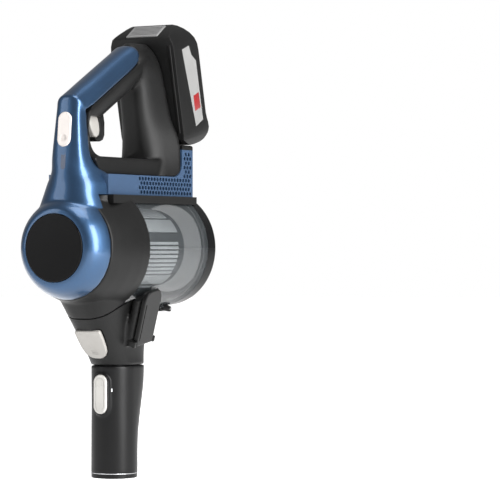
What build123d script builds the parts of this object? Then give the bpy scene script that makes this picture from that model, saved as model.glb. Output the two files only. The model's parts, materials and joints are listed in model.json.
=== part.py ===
"""Cordless stick vacuum: hand unit on the top sleeve of its wand.

Millimetres. Origin: centre of the wand socket's mouth, at the sleeve's lower end. +Z runs up the
wand, -Y is the front, where the round badge faces, and +Y is the rear, where the bin's lid faces.
The motor, the filter and the dust bin share one horizontal axis, along Y.
"""

from build123d import *
import math
import os

# ---------------------------------------------------------------- driving dimensions
WALL = 2.5  # moulded shell thickness
GAP = 0.4  # clearance between pieces of different bodies
FIT = 0.05  # radial clearance of a pin or shaft in its bore

# wand sleeve
SLEEVE_R = 23.3
SLEEVE_TOP = 112.0
SOCKET_R = 17.5  # takes a 35 mm wand
SOCKET_DEPTH = 60.0
END_RING_H = 4.5
SPIGOT_R = 16.3
SPIGOT_LENGTH = 36.0
DUCT_R = 14.0
SPINE_HALF = 12.0  # rear rib that carries the wiring
SPINE_REAR = 33.0
PLUG_HALF = 6.0
PLUG_Y = 27.8
PLUG_T = 4.4

# sleeve release button
BUTTON_Z = 84.0
BUTTON_L = 39.0
BUTTON_W = 15.4
BUTTON_T = 4.4

# motor, filter and bin axis
AXIS_Z = 229.0
BADGE_R = 33.0
BADGE_T = 4.0
DOME_FRONT_Y = -106.0
DOME_FRONT_R = 36.5
DOME_MID_Y = -98.5
DOME_MID_R = 44.5
DOME_REAR_Y = -82.0
DOME_REAR_R = 51.0
BELL_RIM_Y = -29.0
BELL_RIM_R = 62.0
CHIN_R = 71.0  # lower lip of the rear housing, where the neck starts
MOTOR_R = 28.0
SHAFT_R = 3.0

# dust bin
CUP_R = 59.0
CUP_T = 2.0
CUP_FRONT_Y = -40.0
CUP_REAR_Y = 83.5
LID_T = 18.0
HINGE_Z = 166.4
HINGE_Y = CUP_REAR_Y + 6.9
HINGE_HALF = 9.0
HINGE_R = 2.8
HINGE_PIN_R = 1.2
CAGE_R = 40.0
CAGE_T = 2.0
CAGE_REAR_Y = 72.0
INLET_R = 13.5

# stem, bar and riser
STEM_REAR_Y = -70.0
BAR_FRONT_Y = -64.0
BEND_Z = 373.0
BAR_HALF = 35.0
BAR_BOTTOM_Z = 281.0
BAR_TOP_Z = 301.0
BAR_REAR_Y = 93.0
RISER_FRONT_Y = 72.0
RISER_TOP_Z = 329.0
CAP_H = 5.0
RISER_CORNER = 14.0  # hollow curve between the bar's top and the riser
HEEL_CORNER = 20.0  # hollow curve between the stem's rear and the bar's top
SHELF_HALF = 41.0
SHELF_H = 8.5

# handle
FLOOR_TOP_Z = 318.5
FLOOR_HALF = 24.0
GRIP_ANGLE = 29.0
GRIP_HALF = 18.0
GRIP_DEPTH = 42.0
GRIP_CORNER = 15.0
GRIP_Y = -27.0  # a point on the grip's centre line
GRIP_Z = 385.0
GRIP_END = 62.0  # how far the blue cover runs past that point
GRIP_PARTING = 3.0  # the cover's lower edge, above the centre line
HOLE_TOP_Z = 358.0
HOLE_CORNER = 20.0

# column and battery pack
LEAN = 13.0
PACK_Y = 72.5
PACK_Z = 338.0
PACK_HALF = 38.0
PACK_DEPTH = 48.0
PACK_LENGTH = 117.0
PACK_BULGE = 7.5  # the foot's swelling below the pack's origin
FOOT_GAP = 0.5  # between the column's rear face and the pack, along Y
TONGUE_HALF = 16.5
TONGUE_NECK_HALF = 12.0
TONGUE_TOP = 84.0
TONGUE_NECK_T = 3.0
TONGUE_HEAD_T = 5.0
CELL_R = 10.5
CELL_L = 65.0

# exhaust holes
HOLE_PITCH_Y = 5.45
HOLE_PITCH_Z = 4.45
HOLE_HALF = 1.9
HOLE_FIRST_Y = -12.0

# controls
ROCKER_L = 34.0
ROCKER_W = 15.0
ROCKER_Z = 344.0
WINDOW_L = 20.0
WINDOW_W = 5.5
WINDOW_GAP = 2.0  # between the rocker's lower end and the window
WINDOW_Z = ROCKER_Z - ROCKER_L / 2 - WINDOW_GAP - WINDOW_L / 2
TRIGGER_HALF = 7.5
TRIGGER_PIN_Y = -50.0
TRIGGER_PIN_Z = 367.0
PADDLE_L = 58.0
PADDLE_HALF = 15.0
PADDLE_T = 4.0
PADDLE_TILT = 19.0
PADDLE_SWEEP = 9.0
PADDLE_PIN_R = 1.2
TRIGGER_PIN_R = 1.5
ROCKER_PIN_R = 1.0
ROCKER_PIN_Y = 3.8
LID_SKIRT_R = 54.8
WINDOW_R = 45.0
PACK_BUTTON_HALF = 19.0
PACK_BUTTON_Y = 5.0
PACK_BUTTON_W = 20.0
LABEL_CORNERS = [(25.5, 10.5), (40.5, 15.0), (40.0, PACK_LENGTH - 40.5), (32.5, PACK_LENGTH - 33.5),
                 (29.5, PACK_LENGTH - 23.5), (15.5, PACK_LENGTH - 25.5)]

MAIN_AXIS = Axis((0, 0, AXIS_Z), (0, 1, 0))
CUP_IN_R = CUP_R - CUP_T
LID_Y = CUP_REAR_Y + 0.5

# z, front half width and Y, middle half width and Y, rear half width and Y
NECK_SECTIONS = [
    (SLEEVE_TOP + 0.5, 13.0, -23.3, 23.3, -6.0, SPINE_HALF, SPINE_REAR),
    (130.0, 14.5, -36.5, 26.0, -8.0, 15.0, 34.0),
    (150.0, 15.5, -51.0, 31.0, -10.0, 18.0, 36.0),
    (170.0, 19.0, -66.0, 38.0, -14.0, 22.0, 38.0),
    (192.0, 24.0, -82.0, 47.0, -18.0, 26.0, 40.0),
]
STEM_SECTIONS = [
    (301.0, 18.5, -91.6, 26.0, -78.0, 31.0, STEM_REAR_Y),
    (310.0, 17.5, -90.8, 22.0, -78.0, 25.0, STEM_REAR_Y),
    (320.0, 16.5, -90.0, 19.5, -78.0, 20.5, STEM_REAR_Y),
    (340.0, 15.0, -88.2, 17.3, -78.0, 17.5, STEM_REAR_Y),
    (BEND_Z, 13.0, -85.0, 15.5, -78.0, 15.5, STEM_REAR_Y),
]
STEM_BASE_SECTIONS = [
    (252.0, 37.0, -99.0, 47.0, -84.0, 47.0, BAR_FRONT_Y),
    (268.0, 24.5, -97.5, 38.5, -82.0, 41.0, BAR_FRONT_Y),
    (BAR_BOTTOM_Z, 21.0, -95.5, 32.5, -82.0, BAR_HALF, BAR_FRONT_Y),
    (292.0, 19.5, -92.8, 29.5, -80.0, BAR_HALF, BAR_FRONT_Y),
    (BAR_TOP_Z, 18.5, -91.6, 28.0, -78.0, BAR_HALF, BAR_FRONT_Y),
]


def pack_front(z):
    """Y of the pack's front plane at height z."""
    return PACK_Y - (z - PACK_Z) * math.tan(math.radians(LEAN))


def column_front(z):
    """Y of the column's front face at height z."""
    return 28.5 - 0.182 * (z - 372.0)


COLUMN_SECTIONS = [
    (BAR_TOP_Z, 24.0, 36.0, 31.0, 56.0, 34.0, RISER_FRONT_Y),
    (325.0, 16.0, column_front(325.0), 26.0, 55.0, 34.0, RISER_FRONT_Y),
    (PACK_Z + 2, 14.5, column_front(340.0), 24.0, 52.0, 32.5, pack_front(340.0) - FOOT_GAP),
    (375.0, 14.5, column_front(375.0), 22.0, 42.0, 30.0, pack_front(375.0) - FOOT_GAP),
    (410.0, 14.5, column_front(410.0), 21.0, 35.0, 27.0, pack_front(410.0) - FOOT_GAP),
    (428.0, 12.0, 22.0, 18.0, 32.0, 21.0, pack_front(428.0) - FOOT_GAP),
    (434.0, 9.0, 27.0, 13.0, 36.0, 14.0, pack_front(434.0) - FOOT_GAP),
]


# ---------------------------------------------------------------- helpers
def side_slab(points, half, x0=None):
    """Outline in Y, Z pulled out along X, to +-half or from x0 to half."""
    face = make_face(Polyline(*points, close=True))
    if x0 is None:
        return extrude(Plane.YZ * face, amount=half, both=True)
    return extrude(Plane.YZ.offset(x0) * face, amount=half - x0)


def turned(points):
    """Solid of revolution about the main axis from an outline of Y, radius."""
    outline = [(y, AXIS_Z + r) for y, r in points]
    return revolve(Plane.YZ * make_face(Polyline(*outline, close=True)), axis=MAIN_AXIS)


def ring(y0, y1, r_out, r_in):
    """Plain ring about the main axis."""
    return drum(y0, y1, r_out) - drum(y0, y1, r_in)


def drum(y0, y1, r):
    """Plain disc or cylinder about the main axis."""
    return bar_y(0, AXIS_Z, y0, y1, r)


def bar_y(x, z, y0, y1, r):
    """Round bar along Y."""
    return Pos(x, (y0 + y1) / 2, z) * Rot(90, 0, 0) * Cylinder(r, y1 - y0)


def bar_x(y, z, half, r):
    """Round bar along X, centred."""
    return Pos(0, y, z) * Rot(0, 90, 0) * Cylinder(r, 2 * half)


def bar_z(r, z0, z1, x=0.0, y=0.0):
    """Round bar along Z."""
    return Pos(x, y, (z0 + z1) / 2) * Cylinder(r, z1 - z0)


def box(x0, x1, y0, y1, z0, z1):
    return Pos((x0 + x1) / 2, (y0 + y1) / 2, (z0 + z1) / 2) * Box(x1 - x0, y1 - y0, z1 - z0)


def pill(length, width, thick, grow=0.0):
    """Upright pill facing -Y with its back on the XZ plane; grow widens it all round."""
    face = Plane.XZ * SlotOverall(length + 2 * grow, width + 2 * grow, rotation=90)
    return extrude(face, amount=thick)


def coil(radius, wire, height, turns):
    """Coil spring that stands on the origin along +Z."""
    path = Helix(pitch=(height - wire) / turns, height=height - wire, radius=radius)
    section = Plane(origin=path @ 0, z_dir=path % 0) * Circle(wire / 2)
    return Pos(0, 0, wire / 2) * sweep(section, path=path)


def plan_loft(sections, inset=0.0, cut=4.0):
    """Straight-sided loft of plans with cut corners, inset all round for a cavity."""
    faces = []
    for z, wf, yf, wm, ym, wr, yr in sections:
        wf, wm, wr = wf - inset, wm - inset, wr - inset
        yf, yr = yf + inset, yr - inset
        side = [(wf - cut, yf), (wf, yf + cut * 0.7), (wm, ym), (wr, yr - cut), (wr - cut, yr)]
        outline = side + [(-x, y) for x, y in reversed(side)]
        faces.append(Plane.XY.offset(z) * make_face(Polyline(*outline, close=True)))
    return loft(faces, ruled=True)


def save(shape, node):
    export_step(shape, os.path.join("parts", node + ".step"))


# ---------------------------------------------------------------- shared envelopes
def bell_envelope(extra=0.0):
    """Solid outline of the rear housing, grown by extra."""
    return turned([(DOME_REAR_Y, 0), (DOME_REAR_Y, DOME_REAR_R + extra),
                   (BELL_RIM_Y + extra, BELL_RIM_R + extra), (BELL_RIM_Y + extra, 0)])


def dome_envelope(inset=0.0):
    """Solid outline of the front dome, shrunk by inset."""
    return turned([(DOME_FRONT_Y + inset, 0), (DOME_FRONT_Y + inset, DOME_FRONT_R - inset * 0.6),
                   (DOME_MID_Y + inset * 0.7, DOME_MID_R - inset), (DOME_REAR_Y, DOME_REAR_R - inset),
                   (DOME_REAR_Y, 0)])


def bin_path(extra=1.2):
    """Space that the bin and its lid leave through, along +Y."""
    return drum(BELL_RIM_Y, BAR_REAR_Y + 60, CUP_R + extra)


def hand_hole():
    """The opening that the fingers go through, right across the handle."""
    tan = math.tan(math.radians(GRIP_ANGLE))
    drop = GRIP_DEPTH / 2 / math.cos(math.radians(GRIP_ANGLE))
    under = GRIP_Z - drop  # the grip's underside at GRIP_Y
    knee = GRIP_Y + (HOLE_TOP_Z - under) / tan
    top = 392.0
    points = [(STEM_REAR_Y + WALL, FLOOR_TOP_Z), (column_front(FLOOR_TOP_Z), FLOOR_TOP_Z),
              (column_front(top), top), (GRIP_Y + (top - under) / tan - 8, top - 2),
              (knee, HOLE_TOP_Z), (STEM_REAR_Y + WALL, HOLE_TOP_Z)]
    hole = side_slab(points, 60)
    lower_left = hole.edges().filter_by(Axis.X).sort_by(lambda e: e.center().Y + e.center().Z)[0]
    return fillet(lower_left, HOLE_CORNER)


def riser_corner():
    """Blue fillet where the riser leaves the bar."""
    y0, z1 = RISER_FRONT_Y - RISER_CORNER, BAR_TOP_Z + RISER_CORNER
    block = box(-BAR_HALF, BAR_HALF, y0, RISER_FRONT_Y, BAR_TOP_Z, z1)
    return block - bar_x(y0, z1, BAR_HALF + 1, RISER_CORNER)


def stem_heel():
    """Blue fillet where the stem meets the bar, under the hand hole's lining."""
    y1, z1 = STEM_REAR_Y + HEEL_CORNER, BAR_TOP_Z + HEEL_CORNER
    block = box(-FLOOR_HALF, FLOOR_HALF, STEM_REAR_Y, y1, BAR_TOP_Z, z1)
    return block - bar_x(y1, z1, FLOOR_HALF + 1, HEEL_CORNER)


def grip_bar(inset=0.0):
    """The whole grip, an oval bar along its own axis, with its front end cut along the stem."""
    angle = math.radians(GRIP_ANGLE)
    plane = Plane(origin=(0, GRIP_Y, GRIP_Z), x_dir=(1, 0, 0), z_dir=(0, math.cos(angle), math.sin(angle)))
    section = RectangleRounded(2 * (GRIP_HALF - inset), GRIP_DEPTH - 2 * inset, GRIP_CORNER - inset)
    bar = extrude(plane.offset(-80) * section, amount=80 + GRIP_END - inset)
    front = side_slab([(-91.6 + inset, 305.0), (-82.9 + inset, 395.0), (90, 480), (90, 305)], 60)
    return bar & front


def above_parting(rise=0.0):
    """Half space over the grip's parting line, or lower by -rise."""
    slab = Pos(0, 0, GRIP_PARTING + rise + 40) * Box(80, 320, 80)
    return Pos(0, GRIP_Y, GRIP_Z) * Rot(GRIP_ANGLE, 0, 0) * slab


def at_stem(z):
    """Frame on the stem's front face at height z: -Y out of the face, Z up along it."""
    for low, high in zip(STEM_SECTIONS, STEM_SECTIONS[1:]):
        if low[0] <= z <= high[0]:
            slope = (high[2] - low[2]) / (high[0] - low[0])
            return Pos(0, low[2] + slope * (z - low[0]), z) * Rot(-math.degrees(math.atan(slope)), 0, 0)
    raise ValueError("outside the stem")


def at_pack():
    """Pack frame: Y out of the column, Z up along the lean, origin at the lower front edge."""
    return Pos(0, PACK_Y, PACK_Z) * Rot(LEAN, 0, 0)


def at_neck_front():
    """Frame on the neck's sloping front, at the bin release button's centre."""
    low, high = NECK_SECTIONS[0], NECK_SECTIONS[1]
    tilt = math.degrees(math.atan2(high[2] - low[2], high[0] - low[0]))
    y = low[2] + (133.5 - low[0]) * (high[2] - low[2]) / (high[0] - low[0])
    return Pos(0, y, 133.5) * Rot(-tilt, 0, 0)


def at_paddle():
    """Frame of the side paddle: X out of the neck, Z up along it, origin at its lower edge."""
    return Pos(30.2, 2.0, 134.0) * Rot(PADDLE_SWEEP, PADDLE_TILT, 0)


# ---------------------------------------------------------------- the wand sleeve
def sleeve_tube():
    body = bar_z(SLEEVE_R, END_RING_H, SLEEVE_TOP)
    body += side_slab([(10, 38), (SLEEVE_R - 1, 38), (SPINE_REAR, 92), (SPINE_REAR, SLEEVE_TOP),
                       (10, SLEEVE_TOP)], SPINE_HALF)
    body += Pos(0, -15, BUTTON_Z) * pill(BUTTON_L + 7, BUTTON_W + 6, 10.6)
    body -= bar_z(SOCKET_R, 0, SOCKET_DEPTH)
    body -= bar_z(DUCT_R + 0.5, SOCKET_DEPTH - 1, SLEEVE_TOP)
    body -= bar_z(SPIGOT_R + GAP, SLEEVE_TOP - SPIGOT_LENGTH - 2, SLEEVE_TOP)
    body -= Pos(0, -20.3, BUTTON_Z) * pill(BUTTON_L, BUTTON_W, 20, GAP)
    body -= bar_y(0, BUTTON_Z, -20.4, -18.6, 3.2)
    body -= box(-PLUG_HALF - 0.6, PLUG_HALF + 0.6, PLUG_Y - PLUG_T / 2 - GAP, PLUG_Y + PLUG_T / 2 + GAP,
                90, SLEEVE_TOP)
    return body


def sleeve_end_ring():
    body = bar_z(SLEEVE_R - 0.3, 0, END_RING_H) - bar_z(SOCKET_R, 0, END_RING_H)
    return chamfer(body.edges().group_by(Axis.Z)[0].sort_by(SortBy.LENGTH)[-1:], 0.8)


def sleeve_contacts():
    block = box(-PLUG_HALF, PLUG_HALF, PLUG_Y - 2, PLUG_Y + 2, 90, 102)
    for x in (-3.4, 3.4):
        block += bar_z(0.9, 101, 106, x, PLUG_Y)
    return block


def sleeve_button():
    body = Pos(0, -22.4, BUTTON_Z) * pill(BUTTON_L, BUTTON_W, BUTTON_T)
    body = fillet(body.faces().sort_by(Axis.Y)[0].edges(), 1.4)
    groove = pill(BUTTON_L - 6, BUTTON_W - 6, 2) - pill(BUTTON_L - 7, BUTTON_W - 7, 2)
    return body - Pos(0, -22.4 - BUTTON_T + 0.4, BUTTON_Z) * groove


def sleeve_button_spring():
    return Pos(0, -18.6, BUTTON_Z) * Rot(90, 0, 0) * coil(2.2, 0.5, 3.8, 4)


# ---------------------------------------------------------------- neck and inlet
def below_bin(body, inset=0.0):
    """Cut away the chin's and the bin's space from a body under them."""
    return body - drum(-130, BELL_RIM_Y - inset, CHIN_R + inset) - bin_path(1.3 + inset)


def inlet_neck():
    outline = plan_loft(NECK_SECTIONS)
    seat = at_paddle() * box(-8, -1.4, -PADDLE_HALF - 4, PADDLE_HALF + 4, -2, PADDLE_L + 1)
    body = below_bin(outline + seat)
    thick_front = [(z, wf, yf + 6.0, wm, ym, wr, yr) for z, wf, yf, wm, ym, wr, yr in NECK_SECTIONS]
    cavity = below_bin(plan_loft(thick_front, WALL), WALL) & box(-60, 60, -90, 60, SLEEVE_TOP + 3.5, 200)
    duct = bar_z(DUCT_R + 2.3, SLEEVE_TOP + 0.5, 200) & body
    body = body - cavity + duct + bar_z(SPIGOT_R, SLEEVE_TOP - SPIGOT_LENGTH, SLEEVE_TOP + 2)
    for side in (-1, 1):
        y = side * (PADDLE_HALF + 2.4)
        body += at_paddle() * box(-5, PADDLE_T, y - 1.6, y + 1.6, 0, 6)
    body -= bar_z(DUCT_R, SLEEVE_TOP - SPIGOT_LENGTH - 1, 200)
    pin = Rot(90, 0, 0) * Cylinder(PADDLE_PIN_R, 2 * PADDLE_HALF + 12)
    body -= at_paddle() * Pos(PADDLE_T / 2, 0, 3) * pin
    body -= at_paddle() * Pos(-4.6, 0, 30) * Rot(0, 90, 0) * Cylinder(2.6, 8.4)
    body -= at_neck_front() * release_outline(7.4, GAP)
    body += box(-PLUG_HALF, PLUG_HALF, PLUG_Y - PLUG_T / 2, PLUG_Y + PLUG_T / 2, 107, SLEEVE_TOP + 2)
    for x in (-3.4, 3.4):
        body -= bar_z(1.3, 106, 110, x, PLUG_Y)
    return body - inlet_seal(0.0)


def inlet_seal(lift=0.3):
    """Rubber ring in the neck's top that meets the bin's inlet."""
    body = bar_z(DUCT_R + 4, 160, 190) - drum(-40, 40, CUP_R + lift)
    body = (body & drum(-40, 40, CUP_R + 3.4)) if lift else body & drum(-40, 40, CUP_R + 3.4)
    return body - bar_z(DUCT_R, 150, 200)


def release_outline(thick, grow=0.0):
    """Wedge of the bin release button, with its face 1 mm proud of the neck."""
    top, foot, high = 14.0 + grow, 8.0 + grow, 14.0 + grow
    points = [(-top, high), (top, high), (top + 1, -high * 0.3), (foot, -high), (-foot, -high),
              (-top - 1, -high * 0.3)]
    wedge = extrude(Plane.XZ * make_face(Polyline(*points, close=True)), amount=thick / 2, both=True)
    return Pos(0, thick / 2 - 1.0 - grow, 0) * wedge


def bin_release_button():
    body = at_neck_front() * release_outline(3.6)
    for step in range(3):
        z = -6.5 - 2.2 * step
        body -= at_neck_front() * box(-4, 4, -2, -0.7, z - 0.4, z + 0.4)
    return body


def bin_release_spring():
    return at_neck_front() * Pos(0, 2.65, 2) * Rot(-90, 0, 0) * coil(3.0, 0.5, 3.3, 3)


def latch_paddle():
    body = box(0, PADDLE_T, -PADDLE_HALF, PADDLE_HALF, 0.6, PADDLE_L)
    top_corners = body.edges().filter_by(Axis.X).group_by(Axis.Z)[-1]
    body = fillet(top_corners, 11)
    body = fillet(body.faces().sort_by(Axis.X)[-1].edges(), 1.2)
    groove = box(PADDLE_T - 0.8, PADDLE_T + 1, -PADDLE_HALF + 3, -PADDLE_HALF + 4.4, 6, PADDLE_L - 13)
    bore = Pos(PADDLE_T / 2, 0, 3) * Rot(90, 0, 0) * Cylinder(PADDLE_PIN_R + FIT, 2 * PADDLE_HALF + 1)
    return at_paddle() * (body - groove - bore)


def latch_pin():
    pin = Rot(90, 0, 0) * Cylinder(PADDLE_PIN_R, 2 * PADDLE_HALF + 7)
    return at_paddle() * Pos(PADDLE_T / 2, 0, 3) * pin


def latch_spring():
    return at_paddle() * Pos(-4.2, 0, 30) * Rot(0, 90, 0) * coil(1.9, 0.4, 4.1, 4)


# ---------------------------------------------------------------- front shell and housing
def front_shell():
    """Blue cover: dome, stem and the top half of the grip, as one thin moulding."""
    stem = plan_loft(STEM_SECTIONS) + plan_loft(STEM_BASE_SECTIONS) - bell_envelope(0.0)
    grip = grip_bar() & above_parting()
    dome = dome_envelope()
    hollow = plan_loft(STEM_SECTIONS, WALL) + plan_loft(STEM_BASE_SECTIONS, WALL) - bell_envelope(0.0)
    hollow += grip_bar(WALL) & above_parting(-3.0)
    hollow += dome_envelope(WALL) & box(-99, 99, DOME_FRONT_Y + BADGE_T + WALL, 0, 100, 300)
    join = box(-11, 11, -82, STEM_REAR_Y - WALL, 290, 306)
    body = stem + grip + dome + stem_heel() - hollow - join
    body -= drum(DOME_FRONT_Y - 1, DOME_FRONT_Y + BADGE_T, BADGE_R + 0.3)
    body -= at_stem(ROCKER_Z) * Pos(0, 6, 0) * pill(ROCKER_L, ROCKER_W, 12, GAP)
    return body - at_stem(WINDOW_Z) * Pos(0, 4, 0) * pill(WINDOW_L, WINDOW_W, 8)


def front_badge():
    body = drum(DOME_FRONT_Y - 1.0, DOME_FRONT_Y + BADGE_T, BADGE_R)
    return fillet(body.faces().sort_by(Axis.Y)[0].edges(), 1.0)


def rear_housing():
    """Black bell between the dome and the bin, with the chin that carries the neck."""
    body = bell_envelope()
    hollow = turned([(DOME_REAR_Y, 0), (DOME_REAR_Y, DOME_REAR_R - WALL),
                     (CUP_FRONT_Y - 4, BELL_RIM_R - 4.2), (CUP_FRONT_Y - 4, 0)])
    chin = plan_loft(NECK_SECTIONS) & drum(-100, BELL_RIM_Y, CHIN_R)
    chin -= dome_envelope(-0.2) + drum(-120, DOME_REAR_Y, DOME_REAR_R)
    outside = side_slab([(-140, 252), (-140, 100), (-97, 100), (-64, 192), (-64, 252)], 90)
    chin -= outside & drum(-140, DOME_REAR_Y, 200)
    body = body + chin - hollow
    body -= drum(CUP_FRONT_Y - 0.6, 0, CUP_R + 0.35)
    body += ring(-78, -74, DOME_REAR_R + 0.5, MOTOR_R + 16) & bell_envelope()
    body -= drum(CUP_FRONT_Y - 6, CUP_FRONT_Y, 24)
    for side in (-1, 1):
        for y in (-64, -54):
            body -= box(side * 12 - 7, side * 12 + 7, y, y + 6, AXIS_Z + 40, AXIS_Z + 70)
    return body


def shelf_rail(side):
    x0, x1 = sorted((side * 24, side * SHELF_HALF))
    body = box(x0, x1, BAR_FRONT_Y, BAR_REAR_Y - 2,
               BAR_BOTTOM_Z - SHELF_H, BAR_BOTTOM_Z)
    return body - bell_envelope() - bin_path()


def exhaust_shroud():
    """Blue bar over the bin with the riser at its rear end, perforated on both sides."""
    body = box(-BAR_HALF, BAR_HALF, BAR_FRONT_Y, BAR_REAR_Y, BAR_BOTTOM_Z, BAR_TOP_Z)
    body += box(-BAR_HALF, BAR_HALF, RISER_FRONT_Y, BAR_REAR_Y, BAR_TOP_Z - 1, RISER_TOP_Z)
    inner = BAR_HALF - WALL
    body -= box(-inner, inner, BAR_FRONT_Y + WALL, BAR_REAR_Y - WALL, BAR_BOTTOM_Z - 1, BAR_TOP_Z - WALL)
    body -= box(-inner, inner, RISER_FRONT_Y + WALL, BAR_REAR_Y - WALL, BAR_TOP_Z - 4, RISER_TOP_Z - WALL)
    return body + riser_corner() - bell_envelope() - bin_path() - exhaust_holes()


def exhaust_holes():
    """Staggered rows of holes, right across both side walls."""
    rows = int((RISER_TOP_Z - BAR_BOTTOM_Z - 3) // HOLE_PITCH_Z)
    columns = int((BAR_REAR_Y - HOLE_FIRST_Y - 5) // HOLE_PITCH_Y)
    outline = RegularPolygon(HOLE_HALF * 1.12, 6, rotation=90)
    centres = []
    for row in range(rows):
        z = BAR_BOTTOM_Z + 3.4 + row * HOLE_PITCH_Z
        for column in range(columns):
            y = BAR_REAR_Y - 5 - (column + 0.5 * (row % 2)) * HOLE_PITCH_Y
            if z < BAR_TOP_Z - 2 or (y > RISER_FRONT_Y + 3 and z > BAR_TOP_Z + 1):
                centres.append((y, z))
    holes = Sketch() + [Pos(y, z) * outline for y, z in centres]
    return extrude(Plane.YZ * holes, amount=BAR_HALF + 1, both=True)


def riser_cap():
    body = box(-BAR_HALF, BAR_HALF, RISER_FRONT_Y + 0.5, BAR_REAR_Y, RISER_TOP_Z, RISER_TOP_Z + CAP_H)
    return fillet(body.edges().group_by(Axis.Z)[-1], 2.2)


# ---------------------------------------------------------------- handle core, trigger and controls
def handle_core():
    """Black inner moulding: bar floor, hole lining, lower half of the grip and the column."""
    body = box(-FLOOR_HALF, FLOOR_HALF, STEM_REAR_Y, RISER_FRONT_Y, BAR_TOP_Z, FLOOR_TOP_Z + 12)
    body += box(-15, 15, STEM_REAR_Y, STEM_REAR_Y + WALL + 20, BAR_TOP_Z, HOLE_TOP_Z + 16)
    body += plan_loft(COLUMN_SECTIONS, 0.0, 3.0)
    lower_grip = grip_bar() - above_parting() - box(-99, 99, -200, STEM_REAR_Y, 0, 999)
    corners = [(5, 399), (20, 408), (30, 428), (pack_front(428) - 3, 428),
               (pack_front(385) - 3, 385), (5, 380)]
    body += lower_grip + side_slab(corners, 16)
    hollow = plan_loft([(z, wf - WALL, yf + WALL, wm - WALL, ym, wr - WALL, yr - WALL)
                        for z, wf, yf, wm, ym, wr, yr in COLUMN_SECTIONS[:5]], 0.0, 2.0)
    hollow &= box(-60, 60, -100, 100, BAR_TOP_Z + WALL, 405)
    body = body - hollow - hand_hole() - (grip_bar() & above_parting()) - plan_loft(STEM_SECTIONS)
    body -= riser_corner() + stem_heel()
    tunnel = grip_bar(WALL + 1) & box(-13, 13, STEM_REAR_Y + 1, 12, HOLE_TOP_Z + WALL, 500)
    body -= tunnel
    body -= box(-TRIGGER_HALF - 0.7, TRIGGER_HALF + 0.7, -63, -24, HOLE_TOP_Z - 2, 374)
    body -= bar_x(TRIGGER_PIN_Y, TRIGGER_PIN_Z, GRIP_HALF - 2, TRIGGER_PIN_R)
    return body


def trigger():
    points = [(-57, 371), (-42, 371), (-33, 362), (-30.6, 352), (-30.6, 341), (-36, 336.5), (-45, 338),
              (-52, 345), (-57, 356)]
    body = side_slab(points, TRIGGER_HALF)
    return body - bar_x(TRIGGER_PIN_Y, TRIGGER_PIN_Z, 20, TRIGGER_PIN_R + FIT)


def trigger_pad():
    points = [(-42, 371), (-33, 362), (-30.6, 352), (-30.6, 341), (-36, 336.5), (-36.6, 334), (-34, 333.8),
              (-28.2, 339.5), (-28.2, 352.5), (-31, 363.5), (-39, 371)]
    return side_slab(points, TRIGGER_HALF)


def trigger_pin():
    return bar_x(TRIGGER_PIN_Y, TRIGGER_PIN_Z, GRIP_HALF - 3.5, TRIGGER_PIN_R)


def trigger_spring():
    return Pos(0, -45, 371.2) * coil(2.0, 0.5, 5.6, 4)


def mode_rocker():
    face = at_stem(ROCKER_Z)
    body = Pos(0, 1.6, 0) * pill(ROCKER_L, ROCKER_W, 3.4)
    body = fillet(body.faces().sort_by(Axis.Y)[0].edges(), 1.3)
    body -= Pos(0, -9.5, -8.5) * Sphere(8.6)
    body += box(-2, 2, 1.0, 6.0, -2.6, 2.6)
    body -= Pos(0, ROCKER_PIN_Y, 0) * Rot(0, 90, 0) * Cylinder(ROCKER_PIN_R + FIT, 12)
    return face * body


def rocker_pin():
    return at_stem(ROCKER_Z) * Pos(0, ROCKER_PIN_Y, 0) * Rot(0, 90, 0) * Cylinder(ROCKER_PIN_R, 12)


def rocker_bracket():
    face = at_stem(ROCKER_Z)
    body = box(-6, 6, 8.6, 10.4, -21, 21)
    for side in (-1, 1):
        body += box(side * 4.2 - 1.2, side * 4.2 + 1.2, WALL + 0.1, 9, -3, 3)
        body += box(-5, 5, WALL + 0.3, 9, side * 20 - 1, side * 20 + 1)
    body -= Pos(0, ROCKER_PIN_Y, 0) * Rot(0, 90, 0) * Cylinder(ROCKER_PIN_R, 14)
    return face * body


def level_window():
    return at_stem(WINDOW_Z) * Pos(0, WALL, 0) * pill(WINDOW_L, WINDOW_W, WALL)


# ---------------------------------------------------------------- motor
def motor_can():
    body = drum(-93, -60, MOTOR_R) - drum(-91, -59, MOTOR_R - 1.6)
    body -= drum(-94, -90, 5.0)
    for spoke in range(6):
        hole = Pos(0, 0, AXIS_Z) * Rot(0, 60 * spoke, 0) * Pos(17, -92, 0) * Rot(90, 0, 0) * Cylinder(5, 6)
        body -= hole
    return body


def front_bearing():
    return ring(-93, -87, 5.0, SHAFT_R + FIT)


def bearing_bridge():
    body = ring(-66, -62, MOTOR_R - 1.6, MOTOR_R - 6)
    for spoke in range(3):
        body += Pos(0, 0, AXIS_Z) * Rot(0, 120 * spoke, 0) * box(-3, 3, -66, -62, 7, MOTOR_R - 4)
    return body + ring(-66, -61, 8.5, 5.5)


def rear_bearing():
    return ring(-66, -61, 5.5, SHAFT_R + FIT)


def motor_stator():
    body = ring(-86, -70, MOTOR_R - 1.6, 22)
    for slot in range(6):
        body += Pos(0, 0, AXIS_Z) * Rot(0, 60 * slot, 0) * box(-4, 4, -86, -70, 14.5, 23)
    return body - drum(-90, -60, 14.0)


def motor_shaft():
    return drum(-92.5, -46.5, SHAFT_R)


def rotor_magnet():
    return ring(-85, -71, 13.2, SHAFT_R)


def impeller():
    body = drum(-56, -54.4, 30) + drum(-56, -47, 8)
    for blade in range(9):
        vane = Pos(17.5, 0, 0) * Rot(0, 32, 0) * box(-10.5, 10.5, -55, -49.5, -0.7, 0.7)
        body += Pos(0, 0, AXIS_Z) * Rot(0, 40 * blade, 0) * vane
    return body - drum(-60, -40, SHAFT_R)


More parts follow.
